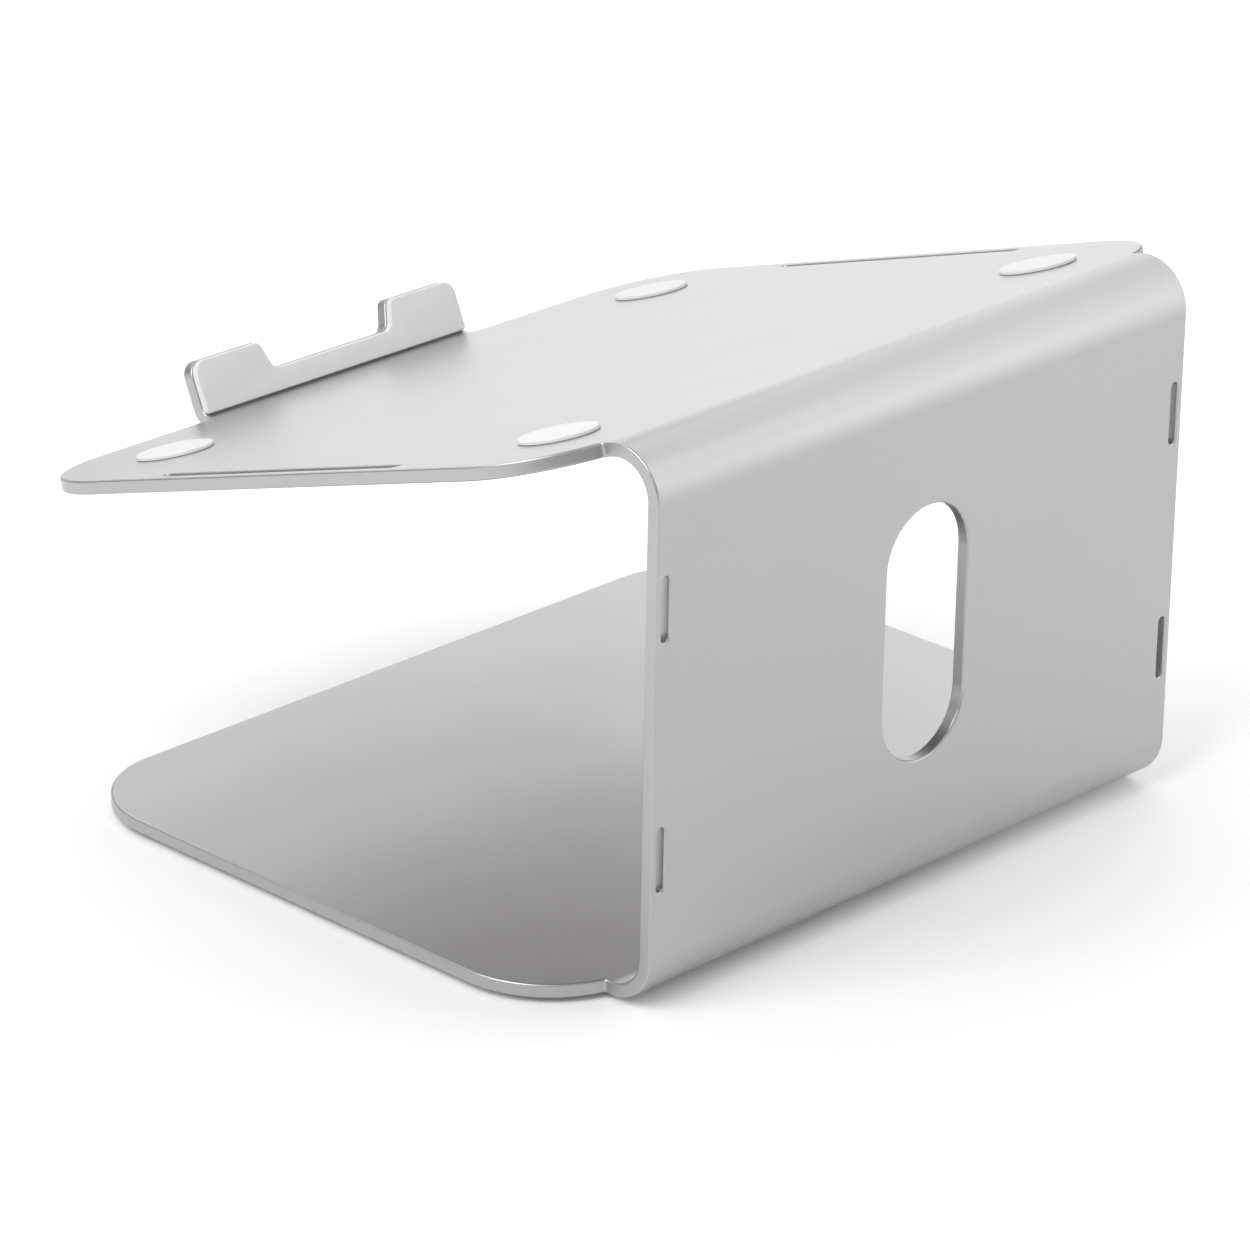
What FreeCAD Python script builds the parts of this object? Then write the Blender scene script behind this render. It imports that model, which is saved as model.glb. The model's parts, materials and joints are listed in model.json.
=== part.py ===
"""Laptop stand: one bent aluminium sheet on four feet, with silicone pads under and in front of the laptop.

Millimetres. X is the width, Y runs from the lip (-Y) to the back panel (+Y), Z is up.
The origin is on the desk, under the middle of the stand.

The sheet is followed like a flat blank that is folded: base, lower bend, back panel, upper bend, tray,
lip bend, lip. Each flat has a frame of its own, turned about X, with x across the stand, y along the
sheet and z into its thickness.
"""

import FreeCAD, Part
import Sketcher
import math
import os

V = FreeCAD.Vector
ACROSS = V(1, 0, 0)

SIZES = {
    # the bent sheet
    "plate_width": 260,             # base and tray
    "panel_width": 215,             # back panel and both bends
    "sheet_thickness": 4,
    "bend_inner": 10,               # inner radius of the two large bends
    "corner_radius": 31,            # round corners of base and tray
    "root_round": 1.2,              # inner corners where a wide flat meets a narrow one
    "edge_round": 0.6,              # every sheet edge
    "base_depth": 210,              # base front edge to the outside of the back panel
    "base_neck": 1,                 # lower bend to the wide part of the base
    "corner_height": 165.5,         # desk to the line where the outsides of panel and tray would meet
    "tray_slope": 17.4,             # degrees below level, towards the lip
    "tray_length": 240,             # that meeting line to the tray's front edge, down the slope
    "tray_neck": 1.44,              # upper bend to the wide part of the tray
    # the lip
    "lip_width": 106,
    "lip_reach": 6,                 # tray front edge to where tray top and lip face would meet
    "lip_height": 16.6,             # along the lip, from that line
    "lip_lean": 7,                  # degrees past square, away from the laptop
    "lip_bend_inner": 3,
    "lip_corner": 4.5,              # outer top corners of the two tabs
    "tab_corner": 2.5,              # inner top corners of the two tabs
    "gap_top_width": 53,            # between the tabs, at their tops
    "gap_floor_width": 47,          # between the tabs, at the floor
    "gap_floor_height": 7.7,        # along the lip
    "gap_corner": 3,
    # openings in the sheet
    "cable_hole_width": 33.2,
    "cable_hole_bottom": 42.4,      # above the desk
    "cable_hole_top": 47.6,         # below the meeting line of panel and tray
    "slot_width": 2.7,
    "panel_slot_inset": 3.6,        # panel edge to slot centre line
    "low_slot_start": 35.8,         # above the desk
    "low_slot_end": 54.5,
    "high_slot_start": 57.6,        # below the meeting line
    "high_slot_end": 39.1,
    "tray_slot_inset": 4.4,         # tray edge to slot centre line
    "tray_slot_start": 81.7,        # meeting line to the slot's rear end
    "tray_slot_end": 60.6,          # tray front edge to the slot's front end
    # pads and feet
    "adhesive_thickness": 0.2,
    "adhesive_margin": 0.8,         # film edge inside the edge of what it holds
    "tray_pad_radius": 11.2,
    "tray_pad_thickness": 1.0,
    "pad_rim_round": 0.4,
    "tray_pad_inset": 33,           # tray side to pad centre
    "rear_pad_inset": 48.7,         # meeting line to pad centre
    "front_pad_inset": 32.3,        # tray front edge to pad centre
    "foot_radius": 9,
    "foot_thickness": 1.5,
    "foot_rim_round": 0.5,
    "foot_inset": 26,               # base sides and front edge to foot centre
    "foot_rear_inset": 38,          # outside of the back panel to rear foot centre
    "lip_pad_thickness": 2.0,
    "lip_pad_margin": 0.3,          # pad edge inside the lip's edge
    "lip_pad_overhang": 2.05,       # how far the pad reaches below the flat part of the lip
    "lip_pad_heel_round": 1.9,      # its lower back edge, which follows the lip's bend
}

# sizes that follow from the ones above, as expressions on the same sheet of sizes
STAND_GAP = "(sizes.foot_thickness + sizes.adhesive_thickness)"
BEND_OUTER = "(sizes.bend_inner + sizes.sheet_thickness)"
UPPER_TURN = "(90 + sizes.tray_slope)"
UPPER_TANGENT = f"({BEND_OUTER} * tan({UPPER_TURN} / 2))"
LIP_TURN = "(90 - sizes.lip_lean)"
LIP_TANGENT = f"(sizes.lip_bend_inner * tan({LIP_TURN} / 2))"
LIP_LINE = "(sizes.tray_length + sizes.lip_reach)"
BASE_SHOULDER = f"({BEND_OUTER} + sizes.base_neck)"
TRAY_SHOULDER = f"({UPPER_TANGENT} + sizes.tray_neck)"
LIP_TILT = "(sizes.tray_slope + sizes.lip_lean)"
OVERALL_DEPTH = (
    f"({LIP_LINE} * cos(sizes.tray_slope)"
    f" + (sizes.lip_height - sizes.edge_round) * sin({LIP_TILT})"
    f" + (sizes.sheet_thickness - sizes.edge_round) * cos({LIP_TILT})"
    " + sizes.edge_round)"
)
BACK_Y = f"({OVERALL_DEPTH} / 2)"

# the inner corners of the wide flats: where a neck's side meets the round corner, and what fits there
ROOT_REACH = "max(0; (sizes.panel_width - sizes.plate_width) / 2 + sizes.corner_radius)"
ROOT_DROP = f"(sizes.corner_radius - sqrt(sizes.corner_radius ^ 2 - {ROOT_REACH} ^ 2))"
ROOT_ROUND = f"min(sizes.root_round; 0.95 * (min(sizes.base_neck; sizes.tray_neck) + {ROOT_DROP}))"

# sizes given from the far end
CABLE_HOLE_TOP = "(sizes.corner_height - sizes.cable_hole_top)"
HIGH_SLOT_START = "(sizes.corner_height - sizes.high_slot_start)"
HIGH_SLOT_END = "(sizes.corner_height - sizes.high_slot_end)"
TRAY_SLOT_END = "(sizes.tray_length - sizes.tray_slot_end)"
TRAY_PAD_X = "(sizes.plate_width / 2 - sizes.tray_pad_inset)"
PAD_ROWS = {"front": "(sizes.tray_length - sizes.front_pad_inset)", "rear": "sizes.rear_pad_inset"}
LIP_PAD_BOTTOM = f"({LIP_TANGENT} - sizes.lip_pad_overhang)"

doc = FreeCAD.newDocument("laptop_stand")


def make_sheet_of_sizes():
    """The driving dimensions, one named cell each."""
    sheet = doc.addObject("Spreadsheet::Sheet", "sizes")
    for row, (name, value) in enumerate(SIZES.items(), start=1):
        sheet.set(f"A{row}", name)
        sheet.set(f"B{row}", str(value))
        sheet.setAlias(f"B{row}", name)
    doc.recompute()


def value(expression):
    """What an expression on the sheet of sizes comes to now."""
    return float(doc.getObject("sizes").evalExpression(expression))


class Frame:
    """Where a flat of the sheet lies: its turn about X, in degrees, and the line its y starts from."""

    def __init__(self, turn, y, z):
        self.turn = turn
        self.y = y
        self.z = z

    def along(self, distance, depth="0"):
        """The Y and Z of the point that far along this flat and that far into its thickness."""
        y = f"({self.y} + {distance} * cos({self.turn}) - {depth} * sin({self.turn}))"
        z = f"({self.z} + {distance} * sin({self.turn}) + {depth} * cos({self.turn}))"
        return y, z

    def place(self, thing, path):
        """Binds a placement property to this frame."""
        thing.setExpression(f"{path}.Base.y", self.y)
        thing.setExpression(f"{path}.Base.z", self.z)
        thing.setExpression(f"{path}.Rotation.Angle", self.turn)


BASE = Frame("0", f"({BACK_Y} - sizes.base_depth)", STAND_GAP)
PANEL = Frame("90", BACK_Y, "0")
TRAY = Frame("(180 + sizes.tray_slope)", BACK_Y, "sizes.corner_height")
LIP = Frame(f"(90 + {LIP_TILT})", *TRAY.along(LIP_LINE))


def new_body(label):
    body = doc.addObject("PartDesign::Body", label)
    body.Label = label
    return body


def new_sketch(body, name, frame=None):
    """A sketch on the body's XY plane, or turned about X and moved into a frame."""
    sketch = body.newObject("Sketcher::SketchObject", name)
    planes = [f for f in body.Origin.OriginFeatures if f.Role == "XY_Plane"]
    sketch.AttachmentSupport = [(planes[0], "")]
    sketch.MapMode = "FlatFace"
    if frame:
        sketch.AttachmentOffset = FreeCAD.Placement(V(0, 0, 0), FreeCAD.Rotation(ACROSS, 10))
        frame.place(sketch, "AttachmentOffset")
    return sketch


def size(sketch, name, kind, *where, to):
    """Adds a dimension to a sketch and binds it to an expression."""
    index = sketch.addConstraint(Sketcher.Constraint(kind, *where, value(to)))
    sketch.renameConstraint(index, name)
    sketch.setExpression(f"Constraints.{name}", to)


def tie(sketch, *constraints):
    for constraint in constraints:
        sketch.addConstraint(Sketcher.Constraint(*constraint))


def draw_rectangle(sketch, width, start, end):
    """A rectangle centred across the stand, from one distance along the sheet to another."""
    x, low, high = value(width) / 2, value(start), value(end)
    points = [V(-x, low, 0), V(x, low, 0), V(x, high, 0), V(-x, high, 0)]
    for i in range(4):
        sketch.addGeometry(Part.LineSegment(points[i], points[(i + 1) % 4]))
    for i in range(4):
        tie(sketch, ("Coincident", i, 2, (i + 1) % 4, 1))
    tie(sketch, ("Horizontal", 2), ("Vertical", 1), ("Vertical", 3), ("Symmetric", 0, 1, 0, 2, -2))
    size(sketch, "width", "DistanceX", 0, 1, 0, 2, to=width)
    if start == "0":
        tie(sketch, ("PointOnObject", 0, 1, -1))
    else:
        size(sketch, "start", "DistanceY", -1, 1, 0, 1, to=start)
    size(sketch, "end", "DistanceY", -1, 1, 2, 1, to=end)


def draw_rounded_rectangle(sketch, width, start, end, radius):
    """The same with four equal round corners."""
    x, low, high, r = value(width) / 2, value(start), value(end), value(radius)
    lines = [
        (V(-x + r, low, 0), V(x - r, low, 0)),
        (V(x, low + r, 0), V(x, high - r, 0)),
        (V(x - r, high, 0), V(-x + r, high, 0)),
        (V(-x, high - r, 0), V(-x, low + r, 0)),
    ]
    centres = [V(x - r, low + r, 0), V(x - r, high - r, 0), V(-x + r, high - r, 0), V(-x + r, low + r, 0)]
    for a, b in lines:
        sketch.addGeometry(Part.LineSegment(a, b))
    for i, centre in enumerate(centres):
        begin = math.radians(-90 + 90 * i)
        circle = Part.Circle(centre, V(0, 0, 1), r)
        sketch.addGeometry(Part.ArcOfCircle(circle, begin, begin + math.pi / 2))
    for i in range(4):
        tie(sketch, ("Tangent", i, 2, 4 + i, 1), ("Tangent", 4 + i, 2, (i + 1) % 4, 1))
    tie(sketch, ("Horizontal", 2), ("Vertical", 1), ("Vertical", 3), ("Symmetric", 0, 1, 0, 2, -2))
    for i in range(1, 4):
        tie(sketch, ("Equal", 4, 4 + i))
    size(sketch, "radius", "Radius", 4, to=radius)
    size(sketch, "width", "DistanceX", 3, 1, 1, 1, to=width)
    if start == "0":
        tie(sketch, ("PointOnObject", 0, 1, -1))
    else:
        size(sketch, "start", "DistanceY", -1, 1, 0, 1, to=start)
    size(sketch, "end", "DistanceY", -1, 1, 2, 1, to=end)


def draw_obround(sketch, width, start, end, offset=None, side=1):
    """A slot along the sheet with round ends, on the middle line or off to one side of it."""
    first = sketch.GeometryCount
    x = side * value(offset) if offset else 0.0
    r = value(width) / 2
    low, high = value(start) + r, value(end) - r
    up = V(0, 0, 1)
    sketch.addGeometry(Part.LineSegment(V(x + r, low, 0), V(x + r, high, 0)))
    sketch.addGeometry(Part.ArcOfCircle(Part.Circle(V(x, high, 0), up, r), 0, math.pi))
    sketch.addGeometry(Part.LineSegment(V(x - r, high, 0), V(x - r, low, 0)))
    sketch.addGeometry(Part.ArcOfCircle(Part.Circle(V(x, low, 0), up, r), math.pi, 2 * math.pi))
    right, top, left, bottom = range(first, first + 4)
    tie(sketch, ("Tangent", right, 2, top, 1), ("Tangent", top, 2, left, 1))
    tie(sketch, ("Tangent", left, 2, bottom, 1), ("Tangent", bottom, 2, right, 1))
    tie(sketch, ("Vertical", right))
    size(sketch, f"radius{first}", "Radius", top, to=f"{width} / 2")
    size(sketch, f"start{first}", "DistanceY", -1, 1, bottom, 3, to=f"{start} + {width} / 2")
    size(sketch, f"end{first}", "DistanceY", -1, 1, top, 3, to=f"{end} - {width} / 2")
    if not offset:
        tie(sketch, ("PointOnObject", top, 3, -2))
    elif side > 0:
        size(sketch, f"offset{first}", "DistanceX", -1, 1, top, 3, to=offset)
    else:
        size(sketch, f"offset{first}", "DistanceX", top, 3, -1, 1, to=offset)


def draw_gap(sketch, floor_width, top_width, floor, top, rise):
    """The gap between the lip's tabs, with sides that keep their slope past the tabs' tops by rise."""
    open_width = f"({top_width} + ({top_width} - ({floor_width})) / ({top} - ({floor})) * {rise})"
    x_low, x_high = value(floor_width) / 2, value(open_width) / 2
    low, high = value(floor), value(f"{top} + {rise}")
    points = [V(-x_low, low, 0), V(x_low, low, 0), V(x_high, high, 0), V(-x_high, high, 0)]
    for i in range(4):
        sketch.addGeometry(Part.LineSegment(points[i], points[(i + 1) % 4]))
    for i in range(4):
        tie(sketch, ("Coincident", i, 2, (i + 1) % 4, 1))
    tie(sketch, ("Symmetric", 0, 1, 0, 2, -2), ("Symmetric", 2, 1, 2, 2, -2))
    size(sketch, "floor_width", "DistanceX", 0, 1, 0, 2, to=floor_width)
    size(sketch, "top_width", "DistanceX", 2, 2, 2, 1, to=open_width)
    size(sketch, "floor", "DistanceY", -1, 1, 0, 1, to=floor)
    size(sketch, "top", "DistanceY", -1, 1, 2, 1, to=f"{top} + {rise}")


def settle(body, feature):
    """Recomputes, and stops at the feature that failed."""
    doc.recompute()
    if {"Invalid", "Error"} & set(feature.State) or not body.Shape.isValid():
        raise RuntimeError(f"{feature.Label} did not recompute")
    return feature


def pad(body, name, sketch, length, reverse=False):
    feature = body.newObject("PartDesign::Pad", name)
    feature.Profile = sketch
    feature.setExpression("Length", length)
    feature.Reversed = reverse
    return settle(body, feature)


def cut(body, name, sketch, length, reverse=True):
    """A pocket. It goes along the sketch's own z when reverse is set, and must remove material."""
    before = body.Shape.Volume
    feature = body.newObject("PartDesign::Pocket", name)
    feature.Profile = sketch
    feature.setExpression("Length", length)
    feature.Reversed = reverse
    settle(body, feature)
    if body.Shape.Volume >= before:
        raise RuntimeError(f"{name} removes nothing")
    return feature


def round_edges(body, name, radius, wanted):
    """Fillets the edges that wanted accepts."""
    base = body.Tip
    names = [f"Edge{i}" for i, edge in enumerate(base.Shape.Edges, start=1) if wanted(edge)]
    if not names:
        raise RuntimeError(f"{name} finds no edges")
    feature = body.newObject("PartDesign::Fillet", name)
    feature.Base = (base, names)
    feature.setExpression("Radius", radius)
    return settle(body, feature)


def near(a, b):
    return abs(a - b) < 0.01


def middle(edge):
    return edge.valueAt((edge.FirstParameter + edge.LastParameter) / 2)


def through_thickness(edge, thickness):
    """True for a straight edge that runs square through the sheet."""
    straight = isinstance(edge.Curve, Part.Line)
    return straight and near(edge.Length, thickness) and near(edge.tangentAt(edge.FirstParameter).x, 0)


def sharp_edges(shape):
    """A test for edges whose two faces meet at an angle of more than 30 degrees."""
    sharp = []
    for edge in shape.Edges:
        faces = shape.ancestorsOfType(edge, Part.Face)
        if len(faces) != 2:
            continue
        point = middle(edge)
        normals = [face.normalAt(*face.Surface.parameter(point)) for face in faces]
        if abs(normals[0].dot(normals[1])) < math.cos(math.radians(30)):
            sharp.append(edge)
    return lambda edge: any(edge.isSame(other) for other in sharp)


def bend(body, name, frame, width, inner, turn, outwards=False):
    """Turns the sheet's section about an axis along X, inner away from the sheet's nearer face.

    The frame's line is the axis. Its y points from the axis to the sheet.
    """
    sketch = new_sketch(body, f"{name}_section", frame)
    draw_rectangle(sketch, width, inner, f"{inner} + sizes.sheet_thickness")
    feature = body.newObject("PartDesign::Revolution", name)
    feature.Profile = sketch
    feature.ReferenceAxis = (sketch, ["H_Axis"])
    feature.setExpression("Angle", turn)
    feature.Reversed = outwards
    settle(body, feature)


def make_stand_body():
    """The bent sheet, with its lip, cable hole and slots."""
    body = new_body("stand_body")
    thickness = "sizes.sheet_thickness"

    sketch = new_sketch(body, "base_outline", BASE)
    end = f"sizes.base_depth - {BASE_SHOULDER}"
    draw_rounded_rectangle(sketch, "sizes.plate_width", "0", end, "sizes.corner_radius")
    pad(body, "base_plate", sketch, thickness)

    sketch = new_sketch(body, "base_neck_outline", BASE)
    start = f"sizes.base_depth - {BASE_SHOULDER} - sizes.corner_radius"
    draw_rectangle(sketch, "sizes.panel_width", start, f"sizes.base_depth - {BEND_OUTER}")
    pad(body, "base_neck", sketch, thickness)

    lower_axis = Frame("-90", f"({BACK_Y} - {BEND_OUTER})", f"({STAND_GAP} + {BEND_OUTER})")
    bend(body, "lower_bend", lower_axis, "sizes.panel_width", "sizes.bend_inner", "90")

    sketch = new_sketch(body, "panel_outline", PANEL)
    panel_top = f"(sizes.corner_height - {UPPER_TANGENT})"
    draw_rectangle(sketch, "sizes.panel_width", f"{STAND_GAP} + {BEND_OUTER}", panel_top)
    pad(body, "back_panel", sketch, thickness)

    upper_axis = Frame("0", f"({BACK_Y} - {BEND_OUTER})", panel_top)
    bend(body, "upper_bend", upper_axis, "sizes.panel_width", "sizes.bend_inner", UPPER_TURN)

    sketch = new_sketch(body, "tray_neck_outline", TRAY)
    end = f"{TRAY_SHOULDER} + sizes.corner_radius"
    draw_rectangle(sketch, "sizes.panel_width", UPPER_TANGENT, end)
    pad(body, "tray_neck", sketch, thickness)

    sketch = new_sketch(body, "tray_outline", TRAY)
    end = "sizes.tray_length"
    draw_rounded_rectangle(sketch, "sizes.plate_width", TRAY_SHOULDER, end, "sizes.corner_radius")
    pad(body, "tray_plate", sketch, thickness)

    bend_start = f"({LIP_LINE} - {LIP_TANGENT})"
    sketch = new_sketch(body, "lip_neck_outline", TRAY)
    draw_rectangle(sketch, "sizes.lip_width", "sizes.tray_length - sizes.corner_radius", bend_start)
    pad(body, "lip_neck", sketch, thickness)

    lip_axis = Frame(f"({TRAY.turn} + 90)", *TRAY.along(bend_start, "(-sizes.lip_bend_inner)"))
    bend(body, "lip_bend", lip_axis, "sizes.lip_width", "sizes.lip_bend_inner", LIP_TURN, outwards=True)

    sketch = new_sketch(body, "lip_outline", LIP)
    draw_rectangle(sketch, "sizes.lip_width", LIP_TANGENT, "sizes.lip_height")
    pad(body, "lip_plate", sketch, thickness)

    sketch = new_sketch(body, "lip_gap_outline", LIP)
    draw_gap(
        sketch, "sizes.gap_floor_width", "sizes.gap_top_width",
        "sizes.gap_floor_height", "sizes.lip_height", "sizes.sheet_thickness",
    )
    cut(body, "lip_gap", sketch, thickness)

    through = f"{thickness} * 1.5"
    sketch = new_sketch(body, "cable_hole_outline", PANEL)
    draw_obround(sketch, "sizes.cable_hole_width", "sizes.cable_hole_bottom", CABLE_HOLE_TOP)
    cut(body, "cable_hole", sketch, through)

    sketch = new_sketch(body, "panel_slot_outlines", PANEL)
    offset = "sizes.panel_width / 2 - sizes.panel_slot_inset"
    for side in (-1, 1):
        draw_obround(sketch, "sizes.slot_width", "sizes.low_slot_start", "sizes.low_slot_end", offset, side)
        draw_obround(sketch, "sizes.slot_width", HIGH_SLOT_START, HIGH_SLOT_END, offset, side)
    cut(body, "panel_slots", sketch, through)

    sketch = new_sketch(body, "tray_slot_outlines", TRAY)
    offset = "sizes.plate_width / 2 - sizes.tray_slot_inset"
    for side in (-1, 1):
        draw_obround(sketch, "sizes.slot_width", "sizes.tray_slot_start", TRAY_SLOT_END, offset, side)
    cut(body, "tray_slots", sketch, through)

    round_corners(body)
    round_edges(body, "sheet_edges", "sizes.edge_round", sharp_edges(body.Tip.Shape))
    return body


def round_corners(body):
    """Rounds the corners that the joined outlines leave: at the wide flats' roots and around the lip."""
    thickness = value("sizes.sheet_thickness")
    panel_half = value("sizes.panel_width / 2")
    lip_half = value("sizes.lip_width / 2")
    gap_floor_half = value("sizes.gap_floor_width / 2")
    gap_top_half = value("sizes.gap_top_width / 2")

    def corner_at(half_width):
        def wanted(edge):
            return through_thickness(edge, thickness) and near(abs(middle(edge).x), half_width)
        return wanted

    def upper(edge):
        """True on the lip's own top, and false at its root."""
        return middle(edge).z > value(LIP.along("sizes.gap_floor_height")[1])

    def lip_top(edge):
        return corner_at(lip_half)(edge) and upper(edge)

    def lip_root(edge):
        return corner_at(lip_half)(edge) and not upper(edge)

    round_edges(body, "shoulder_roots", ROOT_ROUND, corner_at(panel_half))
    round_edges(body, "lip_roots", "sizes.root_round", lip_root)
    round_edges(body, "lip_corners", "sizes.lip_corner", lip_top)
    round_edges(body, "gap_corners", "sizes.gap_corner", corner_at(gap_floor_half))
    round_edges(body, "tab_corners", "sizes.tab_corner", corner_at(gap_top_half))


def make_lip_layer(label, near_face, thickness, bottom, margin):
    """A flat layer with the lip's outline, in front of the lip's face by near_face."""
    body = new_body(label)
    frame = Frame(LIP.turn, *LIP.along("0", f"(-{near_face})"))
    top = f"(sizes.lip_height - {margin})"
    sketch = new_sketch(body, f"{label}_outline", frame)
    draw_rectangle(sketch, f"sizes.lip_width - 2 * {margin}", bottom, top)
    pad(body, f"{label}_plate", sketch, thickness, reverse=True)
    sketch = new_sketch(body, f"{label}_gap_outline", frame)
    draw_gap(
        sketch, f"sizes.gap_floor_width + 2 * {margin}", f"sizes.gap_top_width + 2 * {margin}",
        f"sizes.gap_floor_height - {margin}", "sizes.lip_height", "sizes.sheet_thickness",
    )
    cut(body, f"{label}_gap", sketch, thickness, reverse=False)
    corners = {
        "lip_corner": f"sizes.lip_width / 2 - {margin}",
        "gap_corner": f"sizes.gap_floor_width / 2 + {margin}",
    }
    layer_thickness = value(thickness)
    floor = value(LIP.along("sizes.gap_floor_height")[1]) - value(margin)
    for size_name, half_width in corners.items():
        def wanted(edge, half=value(half_width)):
            on_side = near(abs(middle(edge).x), half)
            return through_thickness(edge, layer_thickness) and on_side and middle(edge).z > floor - 2
        round_edges(body, f"{label}_{size_name}s", f"sizes.{size_name} - {margin}", wanted)
    return body


def make_lip_pad():
    """The silicone pad that the laptop's front edge leans on. Its lower back edge clears the lip's bend."""
    body = make_lip_layer(
        "lip_pad", "sizes.adhesive_thickness", "sizes.lip_pad_thickness", LIP_PAD_BOTTOM,
        "sizes.lip_pad_margin",
    )
    y, z = LIP.along(LIP_PAD_BOTTOM, "(-sizes.adhesive_thickness)")
    edge_y, edge_z = value(y), value(z)

    def lower_back(edge):
        point = middle(edge)
        return near(point.y, edge_y) and near(point.z, edge_z)

    round_edges(body, "lip_pad_heel", "sizes.lip_pad_heel_round", lower_back)
    return body


def make_lip_pad_adhesive():
    """The film between the pad and the flat part of the lip."""
    return make_lip_layer(
        "lip_pad_adhesive", "0", "sizes.adhesive_thickness", LIP_TANGENT, "sizes.adhesive_margin"
    )


def make_disc(label, frame, x, radius, thickness, start, round_size=None, round_top=True):
    """A round pad or film that stands on a frame's plane, from start upwards."""
    body = new_body(label)
    body.Placement = FreeCAD.Placement(V(0, 0, 0), FreeCAD.Rotation(ACROSS, 10))
    body.setExpression("Placement.Base.x", x)
    frame.place(body, "Placement")
    sketch = new_sketch(body, f"{label}_outline")
    sketch.setExpression("AttachmentOffset.Base.z", start)
    sketch.addGeometry(Part.Circle(V(0, 0, 0), V(0, 0, 1), 5))
    tie(sketch, ("Coincident", 0, 3, -1, 1))
    size(sketch, "radius", "Radius", 0, to=radius)
    pad(body, f"{label}_disc", sketch, thickness)
    if round_size:
        rim_height = value(start) + (value(thickness) if round_top else 0)
        def rim(edge):
            return isinstance(edge.Curve, Part.Circle) and near(edge.Curve.Center.z, rim_height)
        round_edges(body, f"{label}_rim", round_size, rim)
    return body


def make_tray_pads():
    """Four round silicone pads on the tray, each on its film."""
    for row, distance in PAD_ROWS.items():
        frame = Frame("sizes.tray_slope", *TRAY.along(distance))
        for side, sign in (("left", "-"), ("right", "")):
            x = f"{sign}{TRAY_PAD_X}"
            film_radius = "sizes.tray_pad_radius - sizes.adhesive_margin"
            film = "sizes.adhesive_thickness"
            make_disc(f"tray_pad_adhesive_{row}_{side}", frame, x, film_radius, film, "0")
            make_disc(
                f"tray_pad_{row}_{side}", frame, x, "sizes.tray_pad_radius",
                "sizes.tray_pad_thickness", film, "sizes.pad_rim_round",
            )


def make_feet():
    """Four round feet under the base, each on its film."""
    places = {
        "front": f"({BACK_Y} - sizes.base_depth + sizes.foot_inset)",
        "rear": f"({BACK_Y} - sizes.foot_rear_inset)",
    }
    for row, y in places.items():
        frame = Frame("0", y, "0")
        for side, sign in (("left", "-"), ("right", "")):
            x = f"{sign}(sizes.plate_width / 2 - sizes.foot_inset)"
            make_disc(
                f"foot_{row}_{side}", frame, x, "sizes.foot_radius", "sizes.foot_thickness", "0",
                "sizes.foot_rim_round", round_top=False,
            )
            make_disc(
                f"foot_adhesive_{row}_{side}", frame, x, "sizes.foot_radius - sizes.adhesive_margin",
                "sizes.adhesive_thickness", "sizes.foot_thickness",
            )


def check_and_write():
    """Stops on any failed object or bad shape, then writes one file for each piece."""
    for thing in doc.Objects:
        if {"Invalid", "Error"} & set(thing.State):
            raise RuntimeError(f"{thing.Label} did not recompute: {thing.State}")
    bodies = [thing for thing in doc.Objects if thing.TypeId == "PartDesign::Body"]
    for body in bodies:
        shape = body.Shape
        if shape.isNull() or not shape.isValid() or len(shape.Solids) != 1:
            raise RuntimeError(f"{body.Label} is not one valid solid")
    os.makedirs("parts", exist_ok=True)
    for body in bodies:
        body.Shape.exportStep(f"parts/{body.Label}.step")
        box = body.Shape.BoundBox
        lengths = f"{box.XLength:.2f} x {box.YLength:.2f} x {box.ZLength:.2f} mm"
        print(f"{body.Label:30s} {body.Shape.Volume:10.1f} mm3  {lengths}")


make_sheet_of_sizes()
make_stand_body()
make_lip_pad()
make_lip_pad_adhesive()
make_tray_pads()
make_feet()
doc.recompute()
check_and_write()
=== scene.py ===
"""Looks of the laptop stand: a bent, bead-blasted aluminium sheet with silicone pads and rubber feet.

Metres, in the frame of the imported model: X across the stand, -Y towards the lip, Z up, the desk at Z = 0.
"""

import json
import logging
import math
from dataclasses import dataclass, field
from enum import Enum
from typing import Callable, Iterable, Optional, Union

import bmesh
import bpy
from mathutils import Matrix, Vector


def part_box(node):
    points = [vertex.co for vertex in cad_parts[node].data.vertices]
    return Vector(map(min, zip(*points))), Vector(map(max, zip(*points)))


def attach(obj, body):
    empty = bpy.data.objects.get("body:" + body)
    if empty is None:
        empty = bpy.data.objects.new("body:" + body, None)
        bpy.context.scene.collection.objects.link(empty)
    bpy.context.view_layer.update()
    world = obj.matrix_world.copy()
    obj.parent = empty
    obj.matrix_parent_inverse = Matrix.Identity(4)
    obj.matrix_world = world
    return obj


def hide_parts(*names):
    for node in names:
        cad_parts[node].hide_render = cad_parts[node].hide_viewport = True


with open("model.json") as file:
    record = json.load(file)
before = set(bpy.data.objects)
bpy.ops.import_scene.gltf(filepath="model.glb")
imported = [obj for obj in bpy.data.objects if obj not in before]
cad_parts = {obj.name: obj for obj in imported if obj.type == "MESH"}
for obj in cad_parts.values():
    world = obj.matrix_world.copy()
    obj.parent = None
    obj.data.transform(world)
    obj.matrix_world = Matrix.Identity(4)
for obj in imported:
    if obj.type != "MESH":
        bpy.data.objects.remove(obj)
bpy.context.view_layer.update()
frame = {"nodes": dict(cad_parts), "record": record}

BODY = "root"
MM = 0.001
TINY = 1e-6
MIDDLE = 0.5
CORNER_SEGMENTS = 10
RIM_SEGMENTS = 5
log = logging.getLogger("laptop_stand")

Number = Union[int, float]


# ---------------------------------------------------------------------------------------------------------
# Shader sockets and materials
# ---------------------------------------------------------------------------------------------------------


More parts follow.
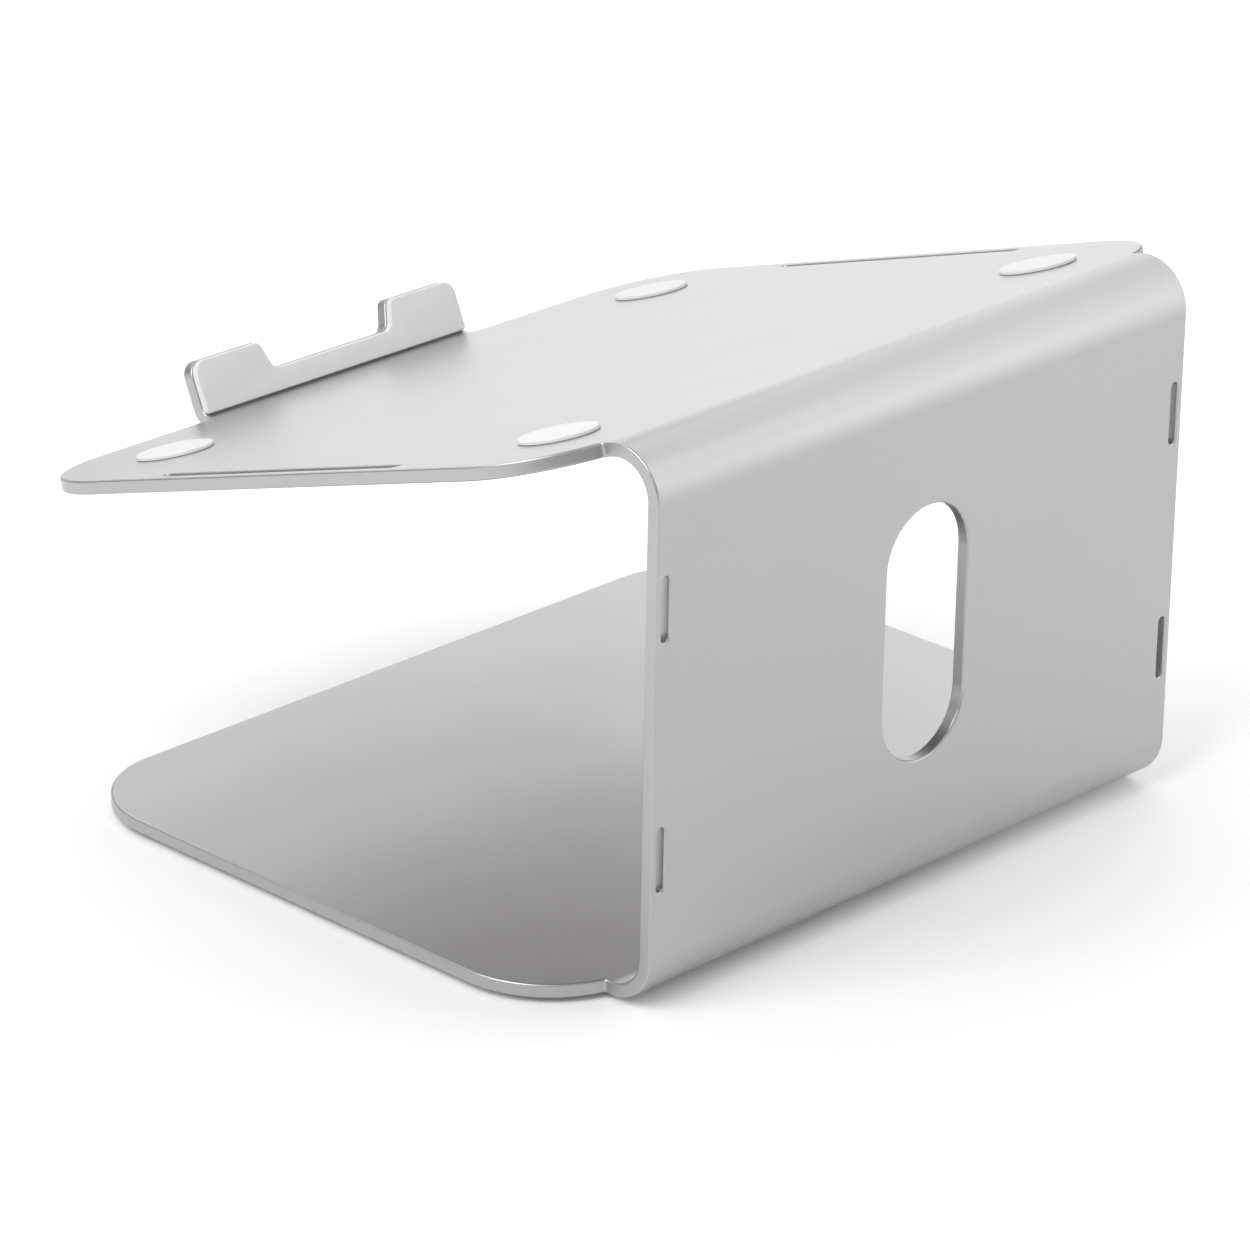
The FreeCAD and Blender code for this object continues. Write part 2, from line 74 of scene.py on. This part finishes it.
class Value:
    """A shader socket that Python's arithmetic works on."""

    def __init__(self, painter: "Painter", socket: bpy.types.NodeSocket) -> None:
        """Wraps a socket.

        Args:
            painter: the painter whose material the socket is in.
            socket: an output socket that holds one number.
        """
        self.painter = painter
        self.socket = socket

    def _math(self, operation: str, first: "Operand", second: "Operand") -> "Value":
        """Adds a Math node.

        Args:
            operation: the node's operation.
            first: its first input.
            second: its second input.

        Returns:
            The node's result.
        """
        made = self.painter.node("ShaderNodeMath", {"operation": operation}, {0: first, 1: second})
        return Value(self.painter, made.outputs[0])

    def __add__(self, other: "Operand") -> "Value":
        """The sum."""
        return self._math("ADD", self, other)

    __radd__ = __add__

    def __mul__(self, other: "Operand") -> "Value":
        """The product."""
        return self._math("MULTIPLY", self, other)

    __rmul__ = __mul__

    def __sub__(self, other: "Operand") -> "Value":
        """The difference."""
        return self._math("SUBTRACT", self, other)

    def __rsub__(self, other: "Operand") -> "Value":
        """The difference, with this value taken away."""
        return self._math("SUBTRACT", other, self)

    def sway(self, width: float) -> "Value":
        """The value, which runs from 0 to 1, centred on 0 and as wide as is asked."""
        return (self - MIDDLE) * width


Operand = Union[Value, Number]


class Painter:
    """One material, with a Principled shader, under construction."""

    def __init__(self, name: str) -> None:
        """Starts a material.

        Args:
            name: the material's name.
        """
        self.material = bpy.data.materials.new(name)
        self.material.use_nodes = True
        self.tree = self.material.node_tree
        self.tree.nodes.clear()
        self.output = self.node("ShaderNodeOutputMaterial")
        self.shader = self.node("ShaderNodeBsdfPrincipled")
        self.tree.links.new(self.shader.outputs[0], self.output.inputs["Surface"])
        self.place = self.node("ShaderNodeTexCoord").outputs["Object"]

    def node(
        self, kind: str, settings: Optional[dict] = None, inputs: Optional[dict] = None
    ) -> bpy.types.Node:
        """Adds a node, with its settings first and then its inputs.

        Args:
            kind: the node's type.
            settings: its attributes.
            inputs: a value, a socket or a Value for each input, by name or number.

        Returns:
            The node.
        """
        made = self.tree.nodes.new(kind)
        for name, setting in (settings or {}).items():
            setattr(made, name, setting)
        for name, given in (inputs or {}).items():
            self.feed(made.inputs[name], given)
        return made

    def feed(self, socket: bpy.types.NodeSocket, given: object) -> None:
        """Links or sets an input.

        Args:
            socket: the input.
            given: a Value, a socket, a number, or a colour of three numbers.
        """
        if isinstance(given, Value):
            given = given.socket
        if isinstance(given, bpy.types.NodeSocket):
            self.tree.links.new(given, socket)
        elif isinstance(given, tuple) and len(given) == 3 and socket.type == "RGBA":
            socket.default_value = (*given, 1.0)
        else:
            socket.default_value = given

    def set(self, **inputs: object) -> None:
        """Feeds the Principled shader's inputs, with spaces in their names written as underscores."""
        for name, given in inputs.items():
            self.feed(self.shader.inputs[name.replace("_", " ")], given)

    def noise(self, size: float, detail: float = 2.0, roughness: float = 0.5) -> Value:
        """A noise pattern from 0 to 1.

        Args:
            size: how wide its features are, in metres.
            detail: how many finer octaves it has.
            roughness: how strong those are.

        Returns:
            The pattern.
        """
        inputs = {"Vector": self.place, "Scale": 1.0 / size, "Detail": detail, "Roughness": roughness}
        return Value(self, self.node("ShaderNodeTexNoise", inputs=inputs).outputs["Fac"])

    def distance(self, centre: tuple, near: float, far: float) -> Value:
        """A smooth ramp by the distance from a point.

        Args:
            centre: the point, in metres.
            near: the distance up to which the ramp is 0.
            far: the distance from which it is 1.

        Returns:
            The ramp.
        """
        away = self.node("ShaderNodeVectorMath", {"operation": "DISTANCE"}, {0: self.place, 1: centre})
        inputs = {"Value": away.outputs["Value"], "From Min": near, "From Max": far}
        ramp = self.node("ShaderNodeMapRange", {"interpolation_type": "SMOOTHSTEP"}, inputs)
        return Value(self, ramp.outputs["Result"])

    def bump(self, height: Value, depth: float) -> bpy.types.NodeSocket:
        """A bump of a real depth.

        Args:
            height: the pattern, from 0 to 1.
            depth: how far it reaches, in metres.

        Returns:
            The bumped normal.
        """
        inputs = {"Height": height, "Distance": depth, "Strength": 1.0}
        return self.node("ShaderNodeBump", inputs=inputs).outputs["Normal"]

    def blend(self, mask: Value, low: tuple, high: tuple) -> bpy.types.NodeSocket:
        """A colour between two, by a mask.

        Args:
            mask: 0 for low, 1 for high.
            low: a linear colour.
            high: a linear colour.

        Returns:
            The colour's socket.
        """
        settings = {"data_type": "RGBA"}
        made = self.node("ShaderNodeMix", settings, {"Factor": mask})
        colours = [socket for socket in made.inputs if socket.type == "RGBA"]
        self.feed(colours[0], low)
        self.feed(colours[1], high)
        return [socket for socket in made.outputs if socket.type == "RGBA"][0]


@dataclass(frozen=True)
class BlastedAluminium:
    """Silver anodised sheet with a fine bead-blasted grain."""

    dark: tuple = (0.460, 0.450, 0.452)
    light: tuple = (0.496, 0.486, 0.488)
    grain: float = 0.35 * MM
    grain_depth: float = 0.012 * MM
    fleck: float = 1.4 * MM
    cloud: float = 28 * MM
    grain_share: float = 0.5
    roughness: float = 0.40
    grain_sway: float = 0.10
    cloud_sway: float = 0.06
    fleck_sway: float = 0.04

    def build(self) -> bpy.types.Material:
        """Makes the material."""
        paint = Painter("blasted_aluminium")
        grain = paint.noise(self.grain, detail=3.0, roughness=0.6)
        cloud = paint.noise(self.cloud, detail=4.0)
        fleck = paint.noise(self.fleck)
        mask = grain * self.grain_share + cloud * (1 - self.grain_share)
        gloss = grain.sway(self.grain_sway) + cloud.sway(self.cloud_sway) + fleck.sway(self.fleck_sway)
        paint.set(
            Base_Color=paint.blend(mask, self.dark, self.light),
            Metallic=1.0,
            Roughness=self.roughness + gloss,
            Normal=paint.bump(grain, self.grain_depth),
        )
        return paint.material


@dataclass(frozen=True)
class Silicone:
    """Matt moulded silicone or rubber."""

    name: str
    dark: tuple
    light: tuple
    roughness: float = 0.62
    grain: float = 0.22 * MM
    grain_depth: float = 0.010 * MM
    dust: float = 5.28 * MM
    dust_share: float = 0.6
    grain_sway: float = 0.16
    dust_sway: float = 0.10
    sheen: float = 0.15
    specular: float = 0.35

    def build(self) -> bpy.types.Material:
        """Makes the material."""
        paint = Painter(self.name)
        grain = paint.noise(self.grain, roughness=0.7)
        dust = paint.noise(self.dust, detail=4.0, roughness=0.6)
        mask = dust * self.dust_share + grain * (1 - self.dust_share)
        paint.set(
            Base_Color=paint.blend(mask, self.dark, self.light),
            Roughness=self.roughness + grain.sway(self.grain_sway) + dust.sway(self.dust_sway),
            Sheen_Weight=self.sheen,
            Specular_IOR_Level=self.specular,
            Normal=paint.bump(grain, self.grain_depth),
        )
        return paint.material


@dataclass(frozen=True)
class AdhesiveFilm:
    """The cut edge of a thin double-sided film."""

    dark: tuple = (0.62, 0.60, 0.55)
    light: tuple = (0.74, 0.72, 0.68)
    fibre: float = 0.6 * MM
    roughness: float = 0.5
    fibre_sway: float = 0.2

    def build(self) -> bpy.types.Material:
        """Makes the material."""
        paint = Painter("adhesive_film")
        fibre = paint.noise(self.fibre, detail=3.0)
        paint.set(
            Base_Color=paint.blend(fibre, self.dark, self.light),
            Roughness=self.roughness + fibre.sway(self.fibre_sway),
        )
        return paint.material


class Finish(Enum):
    """The finishes, each with the record's material slot as its value."""

    SHEET = "sheet"
    LIP_PAD = "lip_pad"
    TRAY_PAD = "tray_pad"
    FOOT = "foot"
    FILM = "adhesive"


RECIPES = {
    Finish.SHEET: BlastedAluminium(),
    Finish.LIP_PAD: Silicone("grey_silicone", (0.675, 0.668, 0.674), (0.740, 0.733, 0.740)),
    Finish.TRAY_PAD: Silicone("white_silicone", (0.68, 0.68, 0.68), (0.73, 0.73, 0.73)),
    Finish.FOOT: Silicone("foot_rubber", (0.20, 0.20, 0.205), (0.26, 0.26, 0.265), roughness=0.7),
    Finish.FILM: AdhesiveFilm(),
}


class Wardrobe:
    """Builds each finish once and dresses pieces in it."""

    def __init__(self) -> None:
        """Builds every finish."""
        self.materials = {finish: recipe.build() for finish, recipe in RECIPES.items()}

    def dress(self, piece: bpy.types.Object, finish: Finish) -> None:
        """Gives a piece one finish.

        Args:
            piece: a mesh object.
            finish: which finish.
        """
        piece.data.materials.clear()
        piece.data.materials.append(self.materials[finish])


# ---------------------------------------------------------------------------------------------------------
# Pieces
# ---------------------------------------------------------------------------------------------------------


def finish_mesh(name: str, shape: bmesh.types.BMesh, sharp_degrees: float = 50.0) -> bpy.types.Object:
    """Turns a bmesh into an object at the origin, smooth but for its sharp edges.

    Args:
        name: the object's name.
        shape: the bmesh, where the piece belongs. It is freed.
        sharp_degrees: edges that turn more than this stay sharp.

    Returns:
        The object.
    """
    bmesh.ops.remove_doubles(shape, verts=shape.verts, dist=TINY / 10)
    bmesh.ops.recalc_face_normals(shape, faces=shape.faces)
    for face in shape.faces:
        face.smooth = True
    for edge in shape.edges:
        if len(edge.link_faces) == 2:
            edge.smooth = edge.calc_face_angle() < math.radians(sharp_degrees)
    mesh = bpy.data.meshes.new(name)
    shape.to_mesh(mesh)
    shape.free()
    piece = bpy.data.objects.new(name, mesh)
    bpy.context.scene.collection.objects.link(piece)
    return piece


def mount(name: str) -> tuple[Vector, Vector]:
    """A mount's point and direction.

    Args:
        name: the mount's name in the record.

    Returns:
        Its position and its axis.
    """
    found = next(m for m in frame["record"]["mounts"] if m["name"] == name)
    return Vector(found["pos_m"]), Vector(found["axis"]).normalized()


def plane_frame(origin: Vector, normal: Vector) -> Matrix:
    """The frame of a plane whose x runs across the stand.

    Args:
        origin: a point on the plane.
        normal: the plane's outward normal, square to X.

    Returns:
        A matrix that takes x across the stand, y along the plane and z out of it.
    """
    across = Vector((-1, 0, 0))
    along = normal.cross(across)
    turn = Matrix((across, along, normal)).transposed().to_4x4()
    return Matrix.Translation(origin) @ turn


@dataclass
class RoundPad:
    """A round moulded pad: a disc with a rounded rim and a faint dish in its top."""

    node: str
    normal: Vector
    radius: float
    thickness: float
    finish: Finish
    rim: float = 0.45 * MM
    dish_radius_share: float = 0.80
    dish_depth: float = 0.06 * MM
    dish_slope: float = 0.24 * MM
    sides: int = 96

    def build(self, wardrobe: Wardrobe) -> bpy.types.Object:
        """Models the pad over its CAD node and replaces that.

        Args:
            wardrobe: the finishes.

        Returns:
            The pad.
        """
        low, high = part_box(self.node)
        shape = bmesh.new()
        bmesh.ops.create_circle(shape, cap_ends=True, segments=self.sides, radius=self.radius)
        grown = bmesh.ops.extrude_face_region(shape, geom=shape.faces[:])
        top = [v for v in grown["geom"] if isinstance(v, bmesh.types.BMVert)]
        bmesh.ops.translate(shape, verts=top, vec=(0, 0, self.thickness))
        shape.faces.ensure_lookup_table()
        cap = max(shape.faces, key=lambda face: face.calc_center_median().z)
        bmesh.ops.bevel(
            shape, geom=cap.edges[:], offset=self.rim, affect="EDGES", segments=RIM_SEGMENTS,
            profile=0.5, material=-1,
        )
        self._dish(shape)
        middle = (low + high) / 2
        place = plane_frame(middle, self.normal) @ Matrix.Translation((0, 0, -self.thickness / 2))
        bmesh.ops.transform(shape, matrix=place, verts=shape.verts)
        piece = finish_mesh(f"{self.node}_moulded", shape)
        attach(piece, BODY)
        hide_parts(self.node)
        wardrobe.dress(piece, self.finish)
        return piece

    def _dish(self, shape: bmesh.types.BMesh) -> None:
        """Sinks the middle of the top a little behind a soft step.

        Args:
            shape: the disc, with its rim rounded.
        """
        cap = max(shape.faces, key=lambda face: (face.calc_center_median().z, face.calc_area()))
        flat_ring = self.radius - self.rim - self.radius * self.dish_radius_share
        bmesh.ops.inset_region(shape, faces=[cap], thickness=flat_ring)
        bmesh.ops.inset_region(shape, faces=[cap], thickness=self.dish_slope, depth=-self.dish_depth)


@dataclass
class LipPad:
    """The grey silicone pad on the lip: two tabs joined by a low strip, its front rim and heel softened.

    Heights run up the lip from where its bend ends. The heel is the lower back edge, over that bend.
    """

    node: str = "lip_pad"
    thickness: float = 2.0 * MM
    outer_corner: float = 4.2 * MM
    tab_corner: float = 2.2 * MM
    gap_corner: float = 3.3 * MM
    bottom_corner: float = 1.2 * MM
    front_rim: float = 0.55 * MM
    heel: float = 1.85 * MM
    gap_floor_width: float = 47.6 * MM
    gap_top_width: float = 53.6 * MM
    gap_floor: float = 7.4 * MM
    bottom: float = 0.6 * MM
    top: float = 16.3 * MM
    mount_height: float = 4.0 * MM
    rim_least_turn: float = math.radians(40)

    def outline(self, half: float) -> list[tuple[float, float, float]]:
        """The corners of the pad, each with how round it is.

        Args:
            half: half the pad's width.

        Returns:
            Across, up and corner radius for each corner, counter-clockwise.
        """
        floor_half, top_half = self.gap_floor_width / 2, self.gap_top_width / 2
        right = [
            (half, self.bottom, self.bottom_corner),
            (half, self.top, self.outer_corner),
            (top_half, self.top, self.tab_corner),
            (floor_half, self.gap_floor, self.gap_corner),
        ]
        left = [(-across, up, radius) for across, up, radius in reversed(right)]
        return right + left

    def build(self, wardrobe: Wardrobe) -> bpy.types.Object:
        """Models the pad over its CAD node and replaces that.

        Args:
            wardrobe: the finishes.

        Returns:
            The pad.
        """
        low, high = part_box(self.node)
        point, normal = mount("laptop_front_stop")
        shape = bmesh.new()
        corners = self.outline((high.x - low.x) / 2)
        points = [shape.verts.new((across, up, 0)) for across, up, _ in corners]
        shape.faces.new(points)
        self._round_corners(shape, corners)
        grown = bmesh.ops.extrude_face_region(shape, geom=shape.faces[:])
        front = [v for v in grown["geom"] if isinstance(v, bmesh.types.BMVert)]
        bmesh.ops.translate(shape, verts=front, vec=(0, 0, self.thickness))
        self._soften(shape)
        place = plane_frame(point, normal) @ Matrix.Translation((0, -self.mount_height, -self.thickness))
        bmesh.ops.transform(shape, matrix=place, verts=shape.verts)
        piece = finish_mesh("lip_pad_moulded", shape)
        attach(piece, BODY)
        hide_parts(self.node)
        wardrobe.dress(piece, Finish.LIP_PAD)
        return piece

    def _round_corners(self, shape: bmesh.types.BMesh, corners: list[tuple]) -> None:
        """Rounds the outline's corners while it is still flat.

        Args:
            shape: one flat face.
            corners: across, up and radius of each corner.
        """
        for across, up, radius in corners:
            near = min(shape.verts, key=lambda v: (v.co - Vector((across, up, 0))).length)
            first, second = [edge.other_vert(near).co - near.co for edge in near.link_edges]
            reach = radius / math.tan(first.angle(second) / 2)
            bmesh.ops.bevel(
                shape, geom=[near], offset=reach, offset_type="OFFSET", affect="VERTICES",
                segments=CORNER_SEGMENTS, profile=0.5, material=-1,
            )

    def _soften(self, shape: bmesh.types.BMesh) -> None:
        """Rounds the heel and the rim on the laptop's side.

        Args:
            shape: the pad as a sharp-edged plate, its back at z = 0.
        """
        def edges_where(test: Callable[[Vector], bool]) -> list[bmesh.types.BMEdge]:
            """The edges whose two ends pass a test."""
            return [edge for edge in shape.edges if all(test(v.co) for v in edge.verts)]

        heel = edges_where(lambda at: at.z < TINY and at.y < self.bottom + TINY)
        bmesh.ops.bevel(
            shape, geom=heel, offset=self.heel, affect="EDGES", segments=6, profile=0.5, material=-1,
            clamp_overlap=True,
        )
        front = edges_where(lambda at: at.z > self.thickness - TINY)
        rim = [edge for edge in front if edge.is_convex and edge.calc_face_angle() > self.rim_least_turn]
        bmesh.ops.bevel(
            shape, geom=rim, offset=self.front_rim, affect="EDGES", segments=4, profile=0.5, material=-1,
            clamp_overlap=True,
        )


@dataclass
class Sheet:
    """The bent sheet itself, which keeps its CAD shape."""

    node: str = "stand_body"

    def build(self, wardrobe: Wardrobe) -> bpy.types.Object:
        """Dresses the sheet.

        Args:
            wardrobe: the finishes.

        Returns:
            The sheet.
        """
        piece = frame["nodes"][self.node]
        wardrobe.dress(piece, Finish.SHEET)
        return piece


@dataclass
class PadSet:
    """Every pad, foot and film that is stuck to the sheet."""

    tray_pad_radius: float = 11.2 * MM
    tray_pad_thickness: float = 1.0 * MM
    foot_radius: float = 9.0 * MM
    foot_thickness: float = 1.5 * MM
    sides: tuple = ("left", "right")
    rows: tuple = ("front", "rear")

    def build(self, wardrobe: Wardrobe) -> Iterable[bpy.types.Object]:
        """Makes the pads and feet and dresses the films.

        Args:
            wardrobe: the finishes.

        Yields:
            Each piece.
        """
        _, tray_normal = mount("laptop_rest")
        for row in self.rows:
            for side in self.sides:
                yield RoundPad(
                    f"tray_pad_{row}_{side}", tray_normal, self.tray_pad_radius, self.tray_pad_thickness,
                    Finish.TRAY_PAD,
                ).build(wardrobe)
                yield RoundPad(
                    f"foot_{row}_{side}", Vector((0, 0, -1)), self.foot_radius, self.foot_thickness,
                    Finish.FOOT,
                ).build(wardrobe)
        yield LipPad().build(wardrobe)
        for name, piece in frame["nodes"].items():
            if "adhesive" in name:
                wardrobe.dress(piece, Finish.FILM)
                yield piece


# ---------------------------------------------------------------------------------------------------------
# Stage
# ---------------------------------------------------------------------------------------------------------


@dataclass
class Softbox:
    """A square area light aimed at a point."""

    name: str
    place: tuple
    aim: tuple
    size: float
    watts: float
    colour: tuple = (1.0, 1.0, 1.0)

    def build(self) -> None:
        """Makes the light."""
        light = bpy.data.lights.new(self.name, "AREA")
        light.shape = "SQUARE"
        light.size = self.size
        light.energy = self.watts
        light.color = self.colour
        lamp = bpy.data.objects.new(self.name, light)
        lamp.location = self.place
        direction = Vector(self.aim) - Vector(self.place)
        lamp.rotation_euler = direction.to_track_quat("-Z", "Y").to_euler()
        lamp.visible_camera = False
        bpy.context.scene.collection.objects.link(lamp)


@dataclass
class Studio:
    """Pale floor, soft light and the camera."""

    eye: tuple = (1.15666, 1.11472, 0.72459)
    aim: tuple = (0.0, 0.00858, 0.04762)
    roll_degrees: float = 1.0117
    lens: float = 173.742
    view_depth: float = 50.0
    floor_size: float = 12.0
    floor_colour: tuple = (0.93, 0.93, 0.93)
    floor_roughness: float = 0.9
    floor_specular: float = 0.1
    # Painted light: the floor's emission, faint near the stand, stronger far away and in the tray's shadow.
    floor_glow: float = 0.04
    painted_light_far_away: float = 0.46
    lit_radius: float = 0.8
    far_radius: float = 2.2
    painted_light_in_shade: float = 0.24
    shade_centre: tuple = (-0.27, -0.10, 0.0)
    shade_radii: tuple = (0.12, 0.38)
    sky: float = 0.32
    middle: tuple = (0.0, 0.0, 0.1)
    lights: dict = field(
        default_factory=lambda: {
            "key_over_tray": ((-1.20, -0.34, 1.40), 1.3, 6.2),
            "key_over_bend": ((-1.15, 0.85, 1.05), 1.2, 6.4),
            "fill_front": ((0.0, -1.2, 1.2), 1.2, 7.0),
            "fill_right": ((1.2, 0.0, 1.2), 1.2, 20.0),
            "fill_back": ((0.0, 1.2, 1.2), 1.2, 3.0),
            "low_front": ((-1.2, -1.2, 0.5), 1.0, 3.9),
            "low_back": ((-1.2, 1.35, 0.35), 0.7, 2.8),
        }
    )

    def build(self) -> None:
        """Makes the whole stage."""
        self._floor()
        self._world()
        for name, (place, size, watts) in self.lights.items():
            Softbox(name, place, self.middle, size, watts).build()
        self._camera()

    def _floor(self) -> None:
        """A plain pale floor at the feet's height, whitened by painted light in the tray's shade and far
        away.
        """
        shape = bmesh.new()
        bmesh.ops.create_grid(shape, x_segments=1, y_segments=1, size=self.floor_size / 2)
        floor = finish_mesh("studio_floor", shape)
        paint = Painter("studio_floor")
        far = paint.distance((0.0, 0.0, 0.0), self.lit_radius, self.far_radius)
        outside_painted_light_patch = paint.distance(self.shade_centre, *self.shade_radii)
        # Painted light: this emission lifts the tray's shadow on the floor and whitens the floor far from
        # the stand.
        painted_floor_light = self.floor_glow + far * self.painted_light_far_away + (1 - outside_painted_light_patch) * self.painted_light_in_shade
        paint.set(
            Base_Color=self.floor_colour,
            Roughness=self.floor_roughness,
            Specular_IOR_Level=self.floor_specular,
            Emission_Color=paint.blend(painted_floor_light, (0.0, 0.0, 0.0), (1.0, 1.0, 1.0)),
            Emission_Strength=1.0,
        )
        floor.data.materials.append(paint.material)

    def _world(self) -> None:
        """An even, colourless surround."""
        world = bpy.data.worlds.new("studio")
        world.use_nodes = True
        background = world.node_tree.nodes["Background"]
        background.inputs["Color"].default_value = (1, 1, 1, 1)
        background.inputs["Strength"].default_value = self.sky
        bpy.context.scene.world = world

    def _camera(self) -> None:
        """The camera, above and behind the stand's right-hand side."""
        lens = bpy.data.cameras.new("camera")
        lens.lens = self.lens
        lens.clip_end = self.view_depth
        camera = bpy.data.objects.new("camera", lens)
        direction = Vector(self.aim) - Vector(self.eye)
        turn = direction.to_track_quat("-Z", "Y").to_matrix().to_4x4()
        roll = Matrix.Rotation(math.radians(self.roll_degrees), 4, "Z")
        camera.matrix_world = Matrix.Translation(self.eye) @ turn @ roll
        bpy.context.scene.collection.objects.link(camera)
        bpy.context.scene.camera = camera
        bpy.context.scene.view_settings.view_transform = "Standard"


def main() -> None:
    """Builds the stand's looks and the stage around it."""
    logging.basicConfig(level=logging.INFO, format="%(message)s")
    wardrobe = Wardrobe()
    log.info("sheet: %s", Sheet().build(wardrobe).name)
    for piece in PadSet().build(wardrobe):
        log.info("piece: %s", piece.name)
    Studio().build()


if __name__ == "__main__":
    main()
